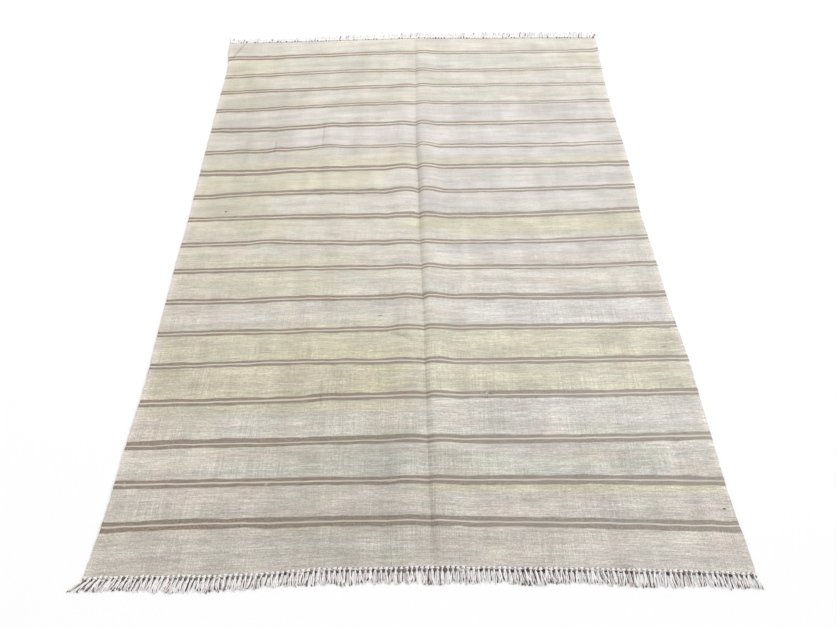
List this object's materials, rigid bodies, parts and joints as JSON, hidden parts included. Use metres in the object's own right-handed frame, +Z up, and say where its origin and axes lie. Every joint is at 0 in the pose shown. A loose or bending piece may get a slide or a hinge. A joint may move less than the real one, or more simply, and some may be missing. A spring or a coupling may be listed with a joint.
{
  "type": "flat-woven kilim rug",
  "caption": "Flat-woven striped wool rug with a knotted cotton fringe at each end, lying flat with a soft fold line down its length.",
  "frame": {"origin": "middle of the whole rug's box, fringes included, on the floor that the rug lies on", "axes": "+Z up, +Y along the rug to its far end, +X to its right side as seen from the near end"},
  "size_m": [1.79, 2.5818, 0.0192],
  "materials": {
    "woven_wool": "matt flat weave in faded ivory wool with uneven dye and paired narrow grey-brown weft stripes",
    "fringe_cotton": "matt off-white plied cotton yarn, slightly soiled"
  },
  "bodies": {
    "root": {"rug_cloth": "woven_wool", "fringe_near": "fringe_cotton", "fringe_far": "fringe_cotton"}
  },
  "joints": []
}
